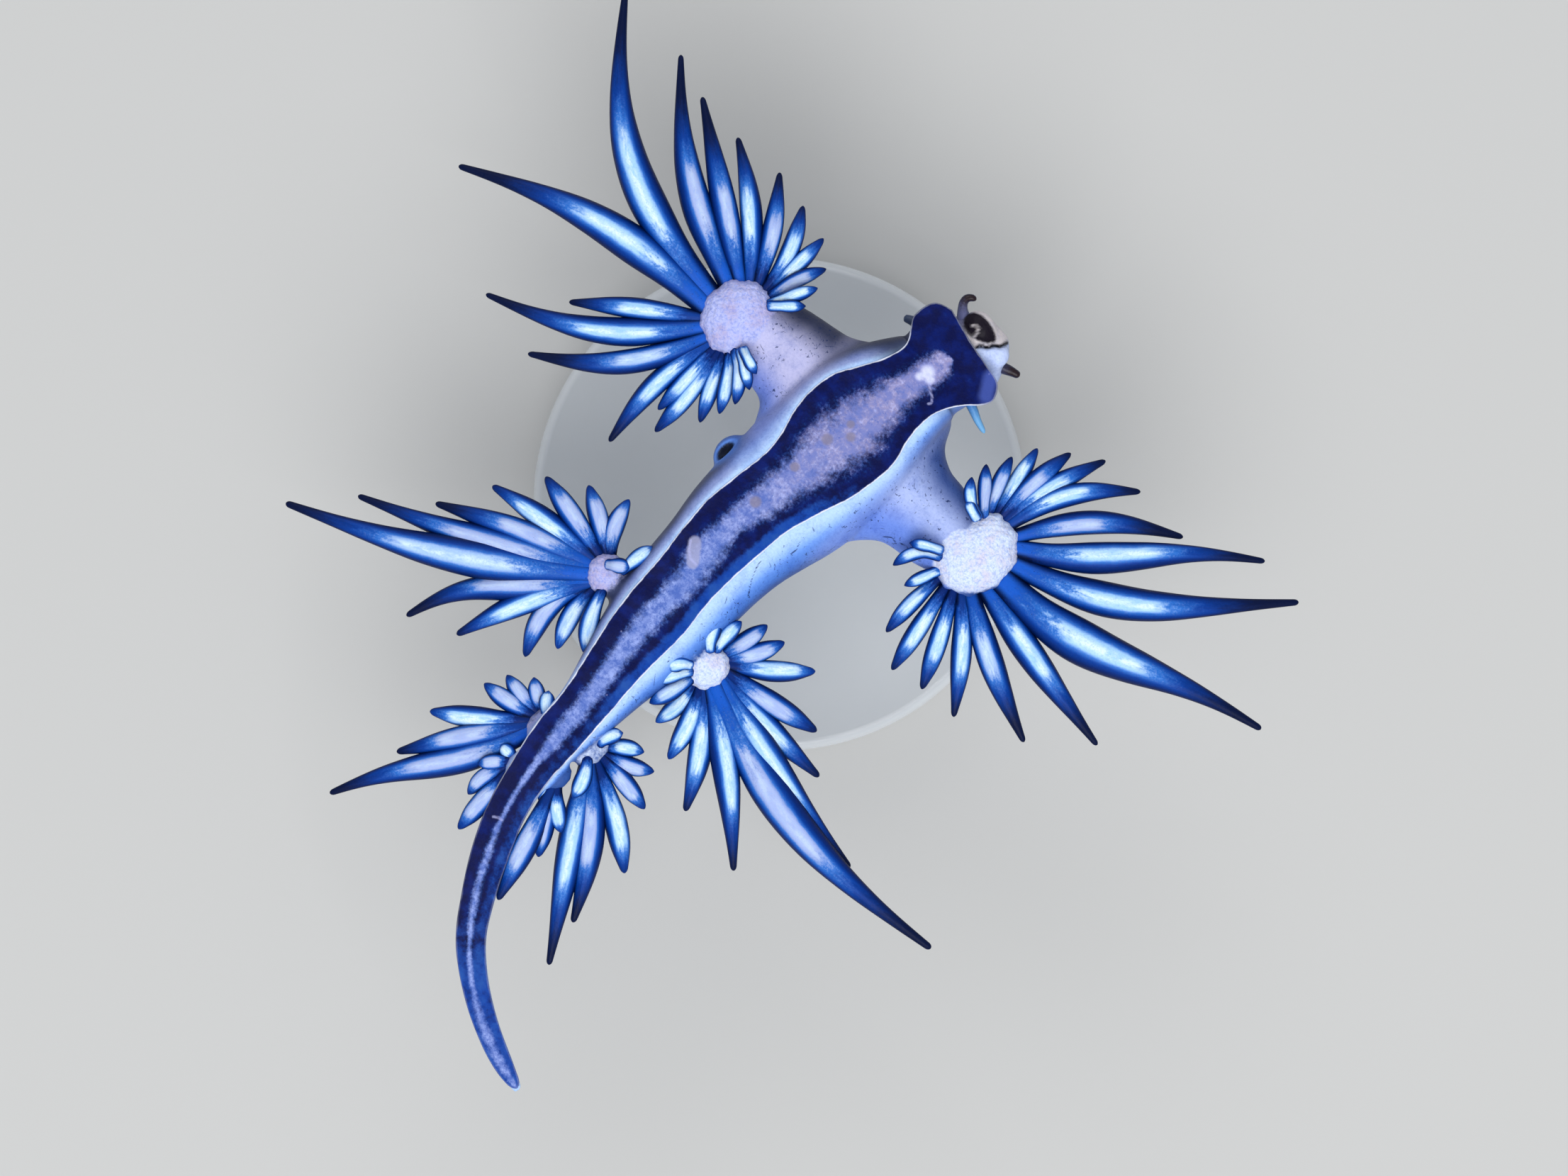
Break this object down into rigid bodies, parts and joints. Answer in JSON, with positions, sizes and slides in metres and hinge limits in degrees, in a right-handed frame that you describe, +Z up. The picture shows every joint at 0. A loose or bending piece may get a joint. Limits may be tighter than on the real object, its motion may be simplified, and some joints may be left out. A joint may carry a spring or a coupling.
{
  "type": "nudibranch model",
  "caption": "Life-size floating sea slug, belly up, with fans of pointed cerata on both sides and a curled tail, held level on a rod over a round base.",
  "frame": {"origin": "middle of the underside of the stand's base, under the animal's front body", "axes": "+Z up, towards the upturned belly; the head points to -Y and the tail to +Y; +X is the animal's right"},
  "size_m": [0.0359, 0.0334, 0.015],
  "materials": {
    "head_skin": "moist pale lilac skin with a dark purple-brown lip",
    "dark_skin": "moist dark purple-brown skin",
    "cyan_skin": "moist cyan-blue skin",
    "foot_skin": "moist navy skin with a mottled silvery-lilac middle stripe and a thin white margin",
    "flank_skin": "moist silvery pale-blue skin",
    "cerata_skin": "moist navy skin with a bright silver-blue stripe along each ceras",
    "stand_acrylic": "polished clear acrylic"
  },
  "bodies": {
    "root": {"head": "head_skin", "oral_tentacle_right": "dark_skin", "oral_tentacle_left": "dark_skin", "rhinophore_right": "cyan_skin", "rhinophore_left": "cyan_skin", "foot_front": "foot_skin", "foot_rear": "foot_skin", "torso_front": "flank_skin", "torso_rear": "flank_skin", "tail_base": "foot_skin", "tail_tip": "foot_skin", "arm_right": "flank_skin", "arm_left": "flank_skin", "cerata_right_1": "cerata_skin", "cerata_left_1": "cerata_skin", "cerata_right_2": "cerata_skin", "cerata_left_2": "cerata_skin", "cerata_right_3": "cerata_skin", "cerata_left_3": "cerata_skin", "cerata_right_4": "cerata_skin", "cerata_left_4": "cerata_skin", "stand_base": "stand_acrylic", "stand_rod": "stand_acrylic"}
  },
  "joints": []
}
